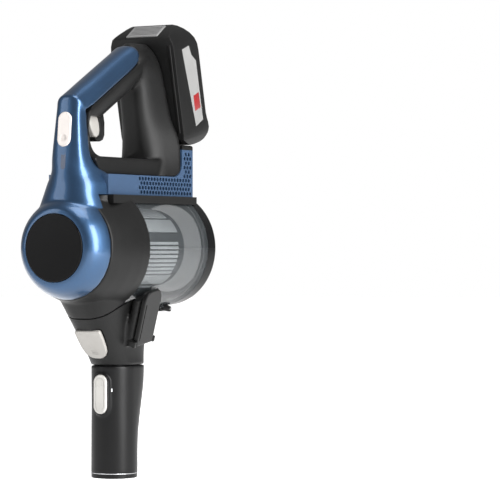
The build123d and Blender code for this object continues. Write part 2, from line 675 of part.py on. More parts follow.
def fan_shroud():
    bulkhead = CUP_FRONT_Y - 4
    return (ring(-61.5, bulkhead, 34, 32.4) + ring(bulkhead - 1.6, bulkhead, 34, 22)
            + ring(-61.5, -59.9, 34, MOTOR_R))


def motor_mount():
    return ring(-78, -74, MOTOR_R + 16, MOTOR_R)


def exhaust_filter():
    return ring(-74, -61.5, 48.5, 36)


# ---------------------------------------------------------------- dust bin, filter and lid
def bin_cup():
    body = ring(CUP_FRONT_Y, CUP_REAR_Y, CUP_R, CUP_IN_R)
    body -= bar_z(INLET_R, 150, AXIS_Z - 40)
    for side in (-1, 1):
        x0 = side * (HINGE_HALF - 1.9)
        arm = [(CUP_REAR_Y - 10, AXIS_Z - CUP_R + 1), (CUP_REAR_Y, AXIS_Z - CUP_R + 1),
               (CUP_REAR_Y, HINGE_Z + 2.4), (HINGE_Y, HINGE_Z + HINGE_R),
               (HINGE_Y, HINGE_Z - HINGE_R), (CUP_REAR_Y - 4, HINGE_Z - 1)]
        lug = side_slab(arm, x0 + 1.9, x0 - 1.9)
        lug += Pos(x0, 0, 0) * bar_x(HINGE_Y, HINGE_Z, 1.9, HINGE_R)
        body += lug
    return body - bar_x(HINGE_Y, HINGE_Z, HINGE_HALF + 2, HINGE_PIN_R)


def bin_bulkhead():
    """Inner front wall of the bin: the seat of the filter cartridge."""
    body = ring(CUP_FRONT_Y, CUP_FRONT_Y + 3, CUP_IN_R, 26)
    return body + ring(CUP_FRONT_Y + 2, CUP_FRONT_Y + 7, CAGE_R + 5.5, CAGE_R + 3.0)


def filter_cage():
    body = ring(CUP_FRONT_Y + 3.5, CAGE_REAR_Y, CAGE_R, CAGE_R - CAGE_T)
    body += ring(CUP_FRONT_Y + 3.5, CUP_FRONT_Y + 6.5, CAGE_R + 2.6, CAGE_R - 6)
    body += ring(CAGE_REAR_Y - 3, CAGE_REAR_Y, CAGE_R, CAGE_R - 6)
    slats = 28
    for slot in range(slats):
        if slot % 7 in (0,):
            continue
        window = box(-1.9, 1.9, -22, CAGE_REAR_Y - 16, CAGE_R - 8, CAGE_R + 8)
        body -= Pos(0, 0, AXIS_Z) * Rot(0, 360 / slats * slot, 0) * window
    return body


def filter_pleats():
    pleats = 20
    points = []
    for fold in range(pleats):
        for radius, shift in ((30.0, 0.0), (19.0, 0.5)):
            angle = 2 * math.pi * (fold + shift) / pleats
            points.append((radius * math.cos(angle), radius * math.sin(angle)))
    star = make_face(Polyline(*points, close=True))
    body = extrude(Plane.XZ.offset(-58) * star, amount=88)
    return Pos(0, 0, AXIS_Z) * body - drum(-60, 90, 13)


def filter_end_cap():
    body = drum(58, CAGE_REAR_Y - 3, 31) + drum(CAGE_REAR_Y - 3, CAGE_REAR_Y + 3, CAGE_R - 6)
    grip = box(-3, 3, CAGE_REAR_Y + 2, CAGE_REAR_Y + 7, AXIS_Z - 20, AXIS_Z + 20)
    return body + grip


def filter_seal():
    return ring(CUP_FRONT_Y + 3.5, CUP_FRONT_Y + 9.5, 34, 26.5) + ring(CUP_FRONT_Y + 8.5, -30, 31, 13)


def bin_lid():
    """Black ring door with a window, on a hinge under the bin."""
    body = drum(LID_Y, LID_Y + LID_T, CUP_R)
    body = fillet(body.faces().sort_by(Axis.Y)[-1].edges(), 5)
    body -= drum(LID_Y - 1, LID_Y + LID_T - 5, CUP_R - 5.5) + drum(LID_Y, LID_Y + LID_T + 1, WINDOW_R)
    body += ring(LID_Y - 4.5, LID_Y + 4, LID_SKIRT_R, LID_SKIRT_R - 1.6)
    body += ring(LID_Y, LID_Y + 2, CUP_R - 3, LID_SKIRT_R - 1)
    arm = [(HINGE_Y, HINGE_Z - HINGE_R), (HINGE_Y + HINGE_R, HINGE_Z),
           (HINGE_Y + HINGE_R, AXIS_Z - CUP_R + 2), (HINGE_Y - 1, AXIS_Z - CUP_R + 2),
           (HINGE_Y - 1, HINGE_Z)]
    half = HINGE_HALF - 1.9 * 2 - GAP
    body += side_slab(arm, half) + bar_x(HINGE_Y, HINGE_Z, half, HINGE_R)
    body -= bar_x(HINGE_Y, HINGE_Z, HINGE_HALF, HINGE_PIN_R + FIT)
    body -= catch_slot()
    return body


def lid_seal():
    return ring(LID_Y - 3.6, LID_Y - 1.4, LID_SKIRT_R + 0.5, LID_SKIRT_R)


def lid_window():
    """Clear disc clamped in the lid's rear wall."""
    return drum(LID_Y + LID_T - 5, LID_Y + LID_T - 2, WINDOW_R)


def lid_hinge_pin():
    return bar_x(HINGE_Y, HINGE_Z, HINGE_HALF + 0.8, HINGE_PIN_R)


def catch_slot():
    return box(-6.4, 6.4, LID_Y + 8, LID_Y + LID_T + 2, AXIS_Z + CUP_R - 12.4, AXIS_Z + CUP_R - 6)


def lid_catch():
    z = AXIS_Z + CUP_R
    body = box(-6, 6, LID_Y + LID_T - 6, LID_Y + LID_T + 1, z - 12, z - 8.4)
    return fillet(body.faces().sort_by(Axis.Y)[-1].edges(), 0.8)


def catch_spring():
    return Pos(0, LID_Y + LID_T - 3, AXIS_Z + CUP_R - 8.4) * coil(1.2, 0.4, 2.4, 3)


# ---------------------------------------------------------------- battery pack and its foot
def battery_foot():
    """T-shaped tongue on the column that the pack slides down over."""
    back = -FOOT_GAP * math.cos(math.radians(LEAN))
    body = box(-TONGUE_NECK_HALF, TONGUE_NECK_HALF, back, TONGUE_NECK_T + 1, 4, TONGUE_TOP)
    body += box(-TONGUE_HALF, TONGUE_HALF, TONGUE_NECK_T, TONGUE_NECK_T + TONGUE_HEAD_T, 4, TONGUE_TOP)
    body -= box(-9, 9, TONGUE_NECK_T + 2, 20, 58, 76)
    return at_pack() * body


def foot_terminals():
    head = TONGUE_NECK_T + TONGUE_HEAD_T
    body = box(-9, 9, TONGUE_NECK_T + 2, head - 1.6, 58, 76)
    for x in (-5, 0, 5):
        body += box(x - 0.9, x + 0.9, head - 2, head - 0.3, 60, 74)
    return at_pack() * body


def pack_groove():
    """Slot in the pack's front that takes the tongue."""
    neck, head = TONGUE_NECK_HALF + GAP, TONGUE_HALF + GAP
    depth = TONGUE_NECK_T + TONGUE_HEAD_T + GAP
    low = -PACK_BULGE - 1
    body = box(-neck, neck, -2, TONGUE_NECK_T + 1, low, TONGUE_TOP + GAP)
    return body + box(-head, head, TONGUE_NECK_T - GAP, depth, low, TONGUE_TOP + GAP)


def pack_profile():
    """Side outline of the pack: swollen foot, straight back, rounded shoulder."""
    corners = [(0, 0), (16, -PACK_BULGE), (PACK_DEPTH - 9, -PACK_BULGE + 1), (PACK_DEPTH + 3, 3),
               (PACK_DEPTH + 3, 10), (PACK_DEPTH, 17), (PACK_DEPTH, PACK_LENGTH - 26),
               (PACK_DEPTH - 12, PACK_LENGTH - 9), (PACK_DEPTH - 29, PACK_LENGTH), (0, PACK_LENGTH)]
    outline = make_face(Polyline(*corners, close=True))
    bends = outline.vertices().filter_by(lambda v: v.X > 1)
    return fillet(bends, 4)


def pack_case():
    side = [(PACK_HALF - 4, -PACK_BULGE), (PACK_HALF, 6), (PACK_HALF, PACK_LENGTH - 13),
            (PACK_HALF - 11, PACK_LENGTH)]
    outline = make_face(Polyline(*side, *[(-x, z) for x, z in reversed(side)], close=True))
    outline = fillet(outline.vertices().filter_by(lambda v: v.Y > 50), 8)
    body = extrude(Plane.XZ * outline, amount=-PACK_DEPTH - 4)
    body &= extrude(Plane.YZ * pack_profile(), amount=PACK_HALF + 1, both=True)
    corners = [(WALL, WALL), (PACK_DEPTH - WALL, WALL), (PACK_DEPTH - WALL, PACK_LENGTH - 27),
               (PACK_DEPTH - WALL - 12, PACK_LENGTH - 15), (WALL, PACK_LENGTH - 15)]
    cavity = side_slab(corners, PACK_HALF - WALL)
    cavity -= box(-TONGUE_HALF - 3, TONGUE_HALF + 3, 0, TONGUE_NECK_T + TONGUE_HEAD_T + 3, 0, TONGUE_TOP + 3)
    body -= cavity
    body -= pack_groove()
    half = PACK_BUTTON_HALF + GAP
    body -= box(-half, half, PACK_BUTTON_Y - GAP, PACK_BUTTON_Y + PACK_BUTTON_W + GAP,
                PACK_LENGTH - 9, PACK_LENGTH + 1)
    body -= Pos(0, 17.5, PACK_LENGTH - 10.5) * Cylinder(4, 4)
    for side in (-1, 1):
        body -= Pos(side * PACK_HALF, 0, 0) * side_slab(LABEL_CORNERS, 0.8)
    top = TONGUE_NECK_T + TONGUE_HEAD_T + GAP
    body -= box(-9, 9, top - 1, top + 3, 58, 76)
    return at_pack() * body


def pack_terminals():
    top = TONGUE_NECK_T + TONGUE_HEAD_T + GAP
    body = box(-9, 9, top + 1.2, top + 3, 58, 76)
    for x in (-5, 0, 5):
        body += box(x - 0.9, x + 0.9, top, top + 1.5, 60, 74)
    return at_pack() * body


def pack_cells():
    """Row of round cells that fills the case, with the strap that joins them."""
    y = PACK_DEPTH - WALL - CELL_R
    pitch = 2 * CELL_R + 0.6
    count = int((PACK_LENGTH - 15 - WALL) // pitch)
    body = box(-12, 12, y + CELL_R - 0.6, y + CELL_R, WALL + 5, WALL + count * pitch - 1)
    for cell in range(count):
        z = WALL + CELL_R + cell * pitch
        body += Pos(0, y, z) * Rot(0, 90, 0) * Cylinder(CELL_R, CELL_L)
    return at_pack() * body


def pack_label(side):
    return at_pack() * Pos(side * (PACK_HALF - 0.4), 0, 0) * side_slab(LABEL_CORNERS, 0.4)


def pack_button():
    body = box(-PACK_BUTTON_HALF, PACK_BUTTON_HALF, PACK_BUTTON_Y, PACK_BUTTON_Y + PACK_BUTTON_W,
               PACK_LENGTH - 6.5, PACK_LENGTH + 0.8)
    body = fillet(body.faces().sort_by(Axis.Z)[-1].edges(), 1.5)
    for rib in range(5):
        y = PACK_BUTTON_Y + 4 + 3.2 * rib
        body -= box(-PACK_BUTTON_HALF + 3, PACK_BUTTON_HALF - 3, y, y + 1.0,
                    PACK_LENGTH + 0.2, PACK_LENGTH + 2)
    return at_pack() * body


def pack_button_spring():
    return at_pack() * Pos(0, 17.5, PACK_LENGTH - 12.5) * coil(3.0, 0.6, 5.9, 4)


# ---------------------------------------------------------------- all nodes
def build():
    os.makedirs("parts", exist_ok=True)
    plain = [sleeve_tube, sleeve_end_ring, sleeve_contacts, sleeve_button, sleeve_button_spring, inlet_neck,
             inlet_seal, bin_release_button, bin_release_spring, latch_paddle, latch_pin,
             latch_spring, front_shell, front_badge, rear_housing, exhaust_shroud, riser_cap, handle_core,
             trigger, trigger_pad, trigger_pin, trigger_spring, mode_rocker, rocker_pin,
             rocker_bracket, level_window, motor_can, front_bearing, bearing_bridge,
             rear_bearing, motor_stator, motor_shaft, rotor_magnet, impeller, fan_shroud, motor_mount,
             exhaust_filter, bin_cup, bin_bulkhead, filter_cage, filter_pleats, filter_end_cap,
             filter_seal, bin_lid, lid_seal, lid_window, lid_hinge_pin, lid_catch, catch_spring,
             battery_foot, foot_terminals, pack_case, pack_terminals, pack_cells, pack_button,
             pack_button_spring]
    for make in plain:
        save(make(), make.__name__)
    for name, side in (("right", 1), ("left", -1)):
        save(shelf_rail(side), "shelf_rail_" + name)
        save(pack_label(side), "pack_label_" + name)


build()
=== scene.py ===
"""Looks of the cordless stick vacuum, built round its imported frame."""

import json
import math

import bmesh
import bpy
from mathutils import Matrix, Vector


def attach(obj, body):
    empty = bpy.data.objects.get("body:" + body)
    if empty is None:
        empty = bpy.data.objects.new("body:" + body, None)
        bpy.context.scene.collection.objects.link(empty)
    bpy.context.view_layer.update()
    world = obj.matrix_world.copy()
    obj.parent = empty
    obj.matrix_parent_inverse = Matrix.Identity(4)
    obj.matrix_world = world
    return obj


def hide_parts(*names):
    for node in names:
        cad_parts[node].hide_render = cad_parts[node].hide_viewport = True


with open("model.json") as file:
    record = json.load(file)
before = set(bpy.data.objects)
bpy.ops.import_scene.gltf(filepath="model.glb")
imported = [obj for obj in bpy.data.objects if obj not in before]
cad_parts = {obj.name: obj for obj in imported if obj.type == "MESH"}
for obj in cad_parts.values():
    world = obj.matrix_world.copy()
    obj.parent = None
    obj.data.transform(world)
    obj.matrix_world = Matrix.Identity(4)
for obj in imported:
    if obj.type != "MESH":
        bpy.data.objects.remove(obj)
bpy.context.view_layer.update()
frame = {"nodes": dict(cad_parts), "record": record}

MM = 0.001
AXIS_Z = 229.0  # height of the motor and bin axis
GRIP_ANGLE = math.radians(29)
GRIP_Y, GRIP_Z = -27.0, 385.0
LEAN = math.radians(13)
PACK_Y, PACK_Z = 72.5, 338.0
DOME_BACK, BELL_BACK = -82, -29  # where the dome and the bell behind it end, along Y
SLEEVE_R = 23.3
SLEEVE_FOOT, SLEEVE_TOP = 4.6, 111.9
CORE = 0.5  # radius left at the middle of a turned cutter

# looks shared by every surface
COAT_ROUGHNESS = 0.08
DRIFT_SCALE, DRIFT_DETAIL = 22.0, 3.0
GRAIN_DETAIL = 4.0
GLOSS_LOW, GLOSS_HIGH = 0.85, 1.15
FLAKE_SCALE, FLAKE_MIX = 2200.0, 0.16
RELIEF_DEPTH = 0.0002

# stage and camera, in metres
FLOOR_RADIUS, FLOOR_GLOW = 9, 0.85
WORLD_LIGHT, WORLD_SEEN = 0.40, 1.0
VIEW_AZIMUTH, VIEW_DISTANCE, VIEW_WIDTH = math.radians(30.0), 2.4, 0.5
VIEW_RIGHT, VIEW_HEIGHT = 0.1356, 0.227
SENSOR_WIDTH = 36.0


# ---------------------------------------------------------------- mesh helpers
def linked(name, bm):
    """Turns a bmesh into an object of the scene, and frees it."""
    mesh = bpy.data.meshes.new(name)
    bm.to_mesh(mesh)
    bm.free()
    obj = bpy.data.objects.new(name, mesh)
    bpy.context.scene.collection.objects.link(obj)
    return obj


def new_object(name, bm):
    """Turns a bmesh in millimetres into an object in metres."""
    bmesh.ops.recalc_face_normals(bm, faces=bm.faces)
    bmesh.ops.scale(bm, vec=(MM, MM, MM), verts=bm.verts)
    return linked(name, bm)


def bridge(bm, near, far):
    """Faces between two closed loops of as many points."""
    for k in range(len(near)):
        n = (k + 1) % len(near)
        bm.faces.new((near[k], near[n], far[n], far[k]))


def blended(rows, steps):
    """Rows of numbers with smooth in-between rows (Catmull-Rom)."""
    out = []
    last = len(rows) - 1
    for i in range(last):
        p0, p1, p2, p3 = rows[max(i - 1, 0)], rows[i], rows[i + 1], rows[min(i + 2, last)]
        for k in range(steps):
            t = k / steps
            out.append([0.5 * (2 * b + (c - a) * t + (2 * a - 5 * b + 4 * c - d) * t * t
                               + (3 * b - a - 3 * c + d) * t ** 3)
                        for a, b, c, d in zip(p0, p1, p2, p3)])
    out.append(list(rows[-1]))
    return out


def signed_power(value, power):
    return math.copysign(abs(value) ** power, value)


def skin(name, stations, steps=6, around=48):
    """Tube of rounded sections. Each station: front Y, Z, rear Y, Z, front and rear half width,
    where the section is fullest (0 rear, 1 front), and how square its front and rear are."""
    bm = bmesh.new()
    rings = []
    for yf, zf, yr, zr, wf, wr, full, square_f, square_r in blended(stations, steps):
        ring = []
        for k in range(around):
            a = 2 * math.pi * k / around
            square = square_f if math.sin(a) >= 0 else square_r
            along = signed_power(math.sin(a), 2 / square)
            across = signed_power(math.cos(a), 2 / square)
            t = full + along * ((1 - full) if along > 0 else full)
            half = wr + (wf - wr) * t
            ring.append(bm.verts.new((half * across, yr + (yf - yr) * t, zr + (zf - zr) * t)))
        rings.append(ring)
    for low, high in zip(rings, rings[1:]):
        bridge(bm, low, high)
    bm.faces.new(list(reversed(rings[0])))
    bm.faces.new(rings[-1])
    return new_object(name, bm)


def lathe(name, profile, around=128, axis="Y"):
    """Closed solid turned about the bin's axis or about Z, from an outline of along, radius."""
    bm = bmesh.new()
    rings = []
    for along, radius in profile:
        ring = []
        for k in range(around):
            a = 2 * math.pi * k / around
            x, out = radius * math.cos(a), radius * math.sin(a)
            ring.append(bm.verts.new((x, along, AXIS_Z + out) if axis == "Y" else (x, out, along)))
        rings.append(ring)
    for low, high in zip(rings, rings[1:] + rings[:1]):
        bridge(bm, low, high)
    return new_object(name, bm)


def plug(start, end, radius, end_radius=None):
    """Outline of a turned cutter, straight or conical."""
    return [(start, CORE), (start, radius),
            (end, radius if end_radius is None else end_radius), (end, CORE)]


def rectangle(y0, y1, z0, z1):
    return [(y0, z0), (y1, z0), (y1, z1), (y0, z1)]


def mirrored(half):
    """Outline closed by its own mirror image across the middle."""
    return half + [(-x, z) for x, z in reversed(half)]


def on_side(side, near, far):
    """Where a piece starts and ends across, on side -1 or 1."""
    return sorted((side * near, side * far))


def block(name, outline, x0, x1):
    """Outline in Y, Z pulled across from x0 to x1."""
    bm = bmesh.new()
    left = [bm.verts.new((x0, y, z)) for y, z in outline]
    right = [bm.verts.new((x1, y, z)) for y, z in outline]
    bm.faces.new(left)
    bm.faces.new(list(reversed(right)))
    for k in range(len(outline)):
        n = (k + 1) % len(outline)
        bm.faces.new((left[k], right[k], right[n], left[n]))
    return new_object(name, bm)


def placed(obj, place):
    """Moves a mesh by a matrix given in millimetres."""
    place = place.copy()
    place.translation *= MM
    obj.data.transform(place)
    return obj


def arc(cy, cz, radius, start, end, steps=12):
    """Points of a circular arc, in degrees."""
    return [(cy + radius * math.cos(math.radians(start + (end - start) * k / steps)),
             cz + radius * math.sin(math.radians(start + (end - start) * k / steps)))
            for k in range(steps + 1)]


def settle(obj):
    """Bakes an object's modifiers into its mesh."""
    graph = bpy.context.evaluated_depsgraph_get()
    mesh = bpy.data.meshes.new_from_object(obj.evaluated_get(graph))
    obj.modifiers.clear()
    obj.data = mesh
    return obj


def fuse(name, pieces, voxel=1.5, rounds=10):
    """Joins closed pieces into one skin with soft hollows where they meet."""
    bm = bmesh.new()
    for piece in pieces:
        bm.from_mesh(piece.data)
        bpy.data.objects.remove(piece)
    obj = linked(name, bm)
    remesh = obj.modifiers.new("fuse", "REMESH")
    remesh.mode = "VOXEL"
    remesh.voxel_size = voxel * MM
    soften = obj.modifiers.new("soften", "SMOOTH")
    soften.factor = 0.5
    soften.iterations = rounds
    return settle(obj)


def cut(obj, cutter, keep="DIFFERENCE"):
    """Boolean of obj with cutter, which is used up."""
    mod = obj.modifiers.new("cut", "BOOLEAN")
    mod.operation = keep
    mod.solver = "EXACT"
    mod.object = cutter
    settle(obj)
    bpy.data.objects.remove(cutter)
    return obj


def smooth(obj, angle=35.0):
    """Smooth shading with crisp edges past angle."""
    limit = math.radians(angle)
    bm = bmesh.new()
    bm.from_mesh(obj.data)
    for face in bm.faces:
        face.smooth = True
    for edge in bm.edges:
        edge.smooth = len(edge.link_faces) == 2 and edge.calc_face_angle(0.0) < limit
    bm.to_mesh(obj.data)
    bm.free()
    return obj


def bevel(obj, width, segments=3, angle=40.0):
    mod = obj.modifiers.new("bevel", "BEVEL")
    mod.width = width * MM
    mod.segments = segments
    mod.limit_method = "ANGLE"
    mod.angle_limit = math.radians(angle)
    return settle(obj)


# ---------------------------------------------------------------- materials
def surface(name, colour, roughness, metallic=0.0, coat=0.0, grain=600.0, bump=0.05, spread=0.08,
            alpha=1.0, flakes=False, specular=0.5):
    """Moulded or painted surface with fine grain, slight colour drift and uneven gloss."""
    mat = bpy.data.materials.new(name)
    mat.use_nodes = True
    nodes, links = mat.node_tree.nodes, mat.node_tree.links
    shader = nodes["Principled BSDF"]
    shader.inputs["Metallic"].default_value = metallic
    shader.inputs["Coat Weight"].default_value = coat
    shader.inputs["Coat Roughness"].default_value = COAT_ROUGHNESS
    shader.inputs["Specular IOR Level"].default_value = specular
    shader.inputs["Alpha"].default_value = alpha
    place = nodes.new("ShaderNodeTexCoord")
    drift = nodes.new("ShaderNodeTexNoise")
    drift.inputs["Scale"].default_value = DRIFT_SCALE
    drift.inputs["Detail"].default_value = DRIFT_DETAIL
    links.new(place.outputs["Object"], drift.inputs["Vector"])
    ramp = nodes.new("ShaderNodeValToRGB")
    ramp.color_ramp.elements[0].position = 0.3
    ramp.color_ramp.elements[1].position = 0.7
    ramp.color_ramp.elements[0].color = (*[c * (1 - spread) for c in colour], 1)
    ramp.color_ramp.elements[1].color = (*[min(1.0, c * (1 + spread)) for c in colour], 1)
    links.new(drift.outputs["Fac"], ramp.inputs["Fac"])
    fine = nodes.new("ShaderNodeTexNoise")
    fine.inputs["Scale"].default_value = grain
    fine.inputs["Detail"].default_value = GRAIN_DETAIL
    links.new(place.outputs["Object"], fine.inputs["Vector"])
    gloss = nodes.new("ShaderNodeMapRange")
    gloss.inputs["To Min"].default_value = roughness * GLOSS_LOW
    gloss.inputs["To Max"].default_value = roughness * GLOSS_HIGH
    links.new(fine.outputs["Fac"], gloss.inputs["Value"])
    links.new(gloss.outputs["Result"], shader.inputs["Roughness"])
    if flakes:
        speck = nodes.new("ShaderNodeTexVoronoi")
        speck.inputs["Scale"].default_value = FLAKE_SCALE
        links.new(place.outputs["Object"], speck.inputs["Vector"])
        mix = nodes.new("ShaderNodeMix")
        mix.data_type = "RGBA"
        mix.blend_type = "OVERLAY"
        mix.inputs["Factor"].default_value = FLAKE_MIX
        links.new(ramp.outputs["Color"], mix.inputs["A"])
        links.new(speck.outputs["Distance"], mix.inputs["B"])
        links.new(mix.outputs["Result"], shader.inputs["Base Color"])
    else:
        links.new(ramp.outputs["Color"], shader.inputs["Base Color"])
    relief = nodes.new("ShaderNodeBump")
    relief.inputs["Strength"].default_value = bump
    relief.inputs["Distance"].default_value = RELIEF_DEPTH
    links.new(fine.outputs["Fac"], relief.inputs["Height"])
    links.new(relief.outputs["Normal"], shader.inputs["Normal"])
    return mat


MATERIALS = {
    "blue_shell": surface("blue_lacquer", (0.0225, 0.056, 0.116), 0.34, metallic=0.85, coat=0.35,
                          flakes=True, bump=0.02, spread=0.04),
    "blue_grille": surface("blue_satin", (0.028, 0.060, 0.120), 0.45, metallic=0.5, coat=0.1,
                           flakes=True, spread=0.05),
    "black_satin": surface("black_satin", (0.0040, 0.0040, 0.0040), 0.42, grain=1500, bump=0.10,
                           spread=0.15, specular=0.16),
    "black_gloss": surface("black_gloss", (0.0035, 0.0035, 0.0037), 0.24, bump=0.02, specular=0.07),
    "sleeve_black": surface("sleeve_black", (0.0040, 0.0040, 0.0042), 0.38, grain=1200, bump=0.1,
                            spread=0.15, specular=0.16),
    "silver_key": surface("silver_key", (0.25, 0.24, 0.225), 0.38, metallic=0.15, bump=0.03),
    "silver_bright": surface("silver_bright", (0.40, 0.39, 0.37), 0.36, metallic=0.15, bump=0.03),
    "warm_white": surface("warm_white", (0.43, 0.395, 0.375), 0.22, coat=0.4, bump=0.01,
                          spread=0.03),
    "window_dark": surface("window_dark", (0.018, 0.030, 0.060), 0.25, coat=0.05, bump=0.01),
    "smoke_clear": surface("smoke_clear", (0.05, 0.056, 0.060), 0.07, specular=0.35, alpha=0.32,
                           bump=0.004, spread=0.05),
    # paler copy of the smoked clear plastic for the lid window: its light colour is painted light,
    # standing in for the bright backdrop seen through it
    "smoke_window_painted_light": surface("smoke_window_painted_light", (0.33, 0.35, 0.36), 0.10, alpha=0.50, bump=0.004,
                            spread=0.05),
    "filter_grey": surface("filter_grey", (0.007, 0.008, 0.009), 0.45, bump=0.05),
    "filter_paper": surface("filter_paper", (0.60, 0.58, 0.53), 0.9, grain=900, bump=0.3),
    "seal_rubber": surface("seal_rubber", (0.02, 0.02, 0.02), 0.75, bump=0.15),
    "foam": surface("foam", (0.05, 0.05, 0.05), 0.95, grain=300, bump=0.8),
    "steel": surface("steel", (0.55, 0.55, 0.55), 0.25, metallic=1.0, grain=2000, bump=0.05),
    "alloy": surface("alloy", (0.62, 0.62, 0.64), 0.35, metallic=1.0, grain=1500, bump=0.08),
    "brass_pin": surface("brass_pin", (0.72, 0.52, 0.22), 0.25, metallic=1.0, bump=0.02),
    "label_silver": surface("label_silver", (0.19, 0.19, 0.187), 0.40, metallic=0.2, bump=0.02),
    "key_grey": surface("key_grey", (0.13, 0.13, 0.13), 0.45, grain=1400, bump=0.1),
    "slat_grey": surface("slat_grey", (0.42, 0.45, 0.46), 0.35, bump=0.03),
    "print_white": surface("print_white", (0.72, 0.74, 0.76), 0.5, bump=0.02),
    "label_red": surface("label_red", (0.16, 0.005, 0.006), 0.35, coat=0.1, bump=0.02),
}


def finish_piece(obj, body, material, slot, *nodes, angle=35.0):
    """Shades, colours and attaches a new piece, which stands for nodes."""
    smooth(obj, angle)
    obj.data.materials.clear()
    obj.data.materials.append(MATERIALS[material])
    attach(obj, body)
    if nodes:
        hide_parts(*nodes)
    return obj


def dress_cad():
    """Gives every CAD node its material."""
    for row in frame["record"]["subparts"]:
        obj = frame["nodes"][row["node"]]
        obj.data.materials.clear()
        obj.data.materials.append(MATERIALS[row["material_slot"]])
    # the lid window takes the paler smoked plastic, whose colour is painted light
    for node, material in (("lid_window", "smoke_window_painted_light"), ("bin_lid", "black_gloss"),
                           ("sleeve_button", "silver_bright")):
        slots = frame["nodes"][node].data.materials
        slots.clear()
        slots.append(MATERIALS[material])


# ---------------------------------------------------------------- blue front moulding
def grip_point(run, rise):
    """A point on the grip: run along its centre line, rise above it, as Y, Z."""
    return (GRIP_Y + run * math.cos(GRIP_ANGLE) - rise * math.sin(GRIP_ANGLE),
            GRIP_Z + run * math.sin(GRIP_ANGLE) + rise * math.cos(GRIP_ANGLE))


def front_moulding():
    """Dome, stem and top half of the grip in one blue skin."""
    stations = [
        (-100, 248, -60, 248, 38, 48, 0.4, 2.6, 5),
        (-98.8, 264, -60, 264, 30, 43, 0.4, 2.8, 5),
        (-95.8, 280, -58, 280, 25, 37, 0.4, 3.0, 6),
        (-92.8, 292, -54, 292, 22, 35, 0.4, 3.0, 6),
        (-91.6, 301, -50.5, 301, 19.8, 30, 0.35, 3.0, 6),
        (-91.0, 307, -60.5, 307, 17.6, 25.0, 0.35, 3.2, 5),
        (-90.4, 314, -67.5, 314, 17.0, 22.0, 0.35, 3.4, 5),
        (-89.8, 323, -70, 323, 16.2, 19.8, 0.35, 3.6, 5),
        (-88.2, 340, -70, 340, 15.0, 17.4, 0.35, 3.8, 5),
        (-86.4, 358, -70, 354, 13.8, 15.8, 0.35, 3.8, 5),
        (-85.3, 369, -70.4, 359.5, 13.2, 15.8, 0.3, 3.6, 6),
        (-84.3, 376, *grip_point(-52, 3), 13.2, 16.2, 0.12, 3.2, 7),
        (*grip_point(-48, 20.6), *grip_point(-46, 3), 13.6, 17.0, 0.06, 2.8, 8),
        (*grip_point(-38, 21), *grip_point(-38, 3), 15.0, 17.8, 0.04, 2.3, 8),
        (*grip_point(-15, 21), *grip_point(-15, 3), 17.0, 18.0, 0.03, 2.1, 8),
        (*grip_point(20, 21), *grip_point(20, 3), 17.0, 18.0, 0.03, 2.1, 8),
        (*grip_point(44, 20.8), *grip_point(44, 3.5), 17.0, 18.0, 0.03, 2.1, 8),
        (*grip_point(54, 20.6), *grip_point(56, 6), 16.5, 17.6, 0.03, 2.1, 6),
        (*grip_point(60, 20.2), *grip_point(62.5, 11), 14.5, 15.5, 0.03, 2.1, 4),
        (*grip_point(63.5, 19.4), *grip_point(65, 16), 10.0, 11.0, 0.03, 2.1, 3),
    ]
    stem = skin("stem", stations, steps=8, around=72)
    dome = lathe("dome", [(-106, 1), (-106, 36.5), (-104.9, 38.6), (-102.2, 41.5), (-98.5, 44.4),
                          (-93.0, 47.2), (-87.5, 49.4), (DOME_BACK, 51), (DOME_BACK, 1)])
    body = fuse("front_moulding", [stem, dome], voxel=1.25, rounds=14)
    bell = lathe("bell_space", plug(DOME_BACK, BELL_BACK, 51.2, 62.2))
    cut(body, bell)
    cut(body, block("collar_space", rectangle(-75.6, -20, 240, 281), -80, 80))
    cut(body, lathe("badge_space", plug(-112, -101.9, 33.6)))
    return finish_piece(body, "hand_unit", "blue_shell", "blue_shell", "front_shell", angle=42)


# ---------------------------------------------------------------- black housing, chin and neck
NECK_STATIONS = [
    (-23.2, 112.5, 33.0, 112.5, 23.2, 23.2, 0.57, 2.0, 2.9),
    (-29.6, 121.0, 33.6, 121.0, 22.8, 22.8, 0.53, 2.3, 2.9),
    (-38.0, 132.0, 34.4, 132.0, 23.0, 24.0, 0.5, 2.7, 2.8),
    (-51.0, 150.0, 36.0, 150.0, 25.5, 27.0, 0.5, 2.9, 2.6),
    (-66.0, 170.0, 38.0, 170.0, 30.0, 32.5, 0.5, 2.8, 2.6),
    (-82.0, 192.0, 40.0, 192.0, 36.0, 42.0, 0.5, 2.6, 2.6),
]

# lower edge of the housing along the neck's side, as Y, Z
CHIN_EDGE = [(-130, 157.5), (-64, 157.5), (-58, 158.8), (-50, 162.8), (-42, 167.8), (-32, 173),
             (-20, 178), (-8, 183), (60, 212)]


def neck_skin(name):
    return skin(name, NECK_STATIONS, steps=6, around=64)


def above_edge(name, drop):
    """Everything over the chin's lower edge, lowered by drop."""
    edge = [(y, z - drop) for y, z in CHIN_EDGE]
    return block(name, edge + [(60, 400), (-130, 400)], -90, 90)


def housing():
    """Bell with the chin flowing out of its lower side and the collar under the shelf."""
    bell = lathe("bell", [(DOME_BACK, 1), (DOME_BACK, 51), (-70, 54.6), (-55, 58.2), (-40, 60.8),
                          (BELL_BACK, 62), (BELL_BACK, 1)])
    chin = cut(neck_skin("chin"), above_edge("chin_reach", 0), "INTERSECT")
    cut(chin, lathe("bin_side", plug(BELL_BACK, 60, 130)))
    collar = skin("collar", [(-75.2, z, BELL_BACK, z, 35, 40.6, 0.2, 4.0, 12)
                             for z in (238, 260, 281)], around=64)
    body = fuse("housing_skin", [bell, chin, collar], voxel=1.3, rounds=6)
    cut(body, lathe("dome_space", plug(-130, -82.2, 120)))
    cut(body, lathe("front_room", plug(-83, -46, 48.4, 56.5)))
    cut(body, lathe("cup_room", plug(-41, -28, 59.4)))
    cut(body, lathe("inlet_room", plug(-50, -38, 24)))
    cut(body, block("over", rectangle(-90, -20, 280.2, 300), -60, 60))
    return finish_piece(body, "hand_unit", "black_satin", "black_satin", "rear_housing")


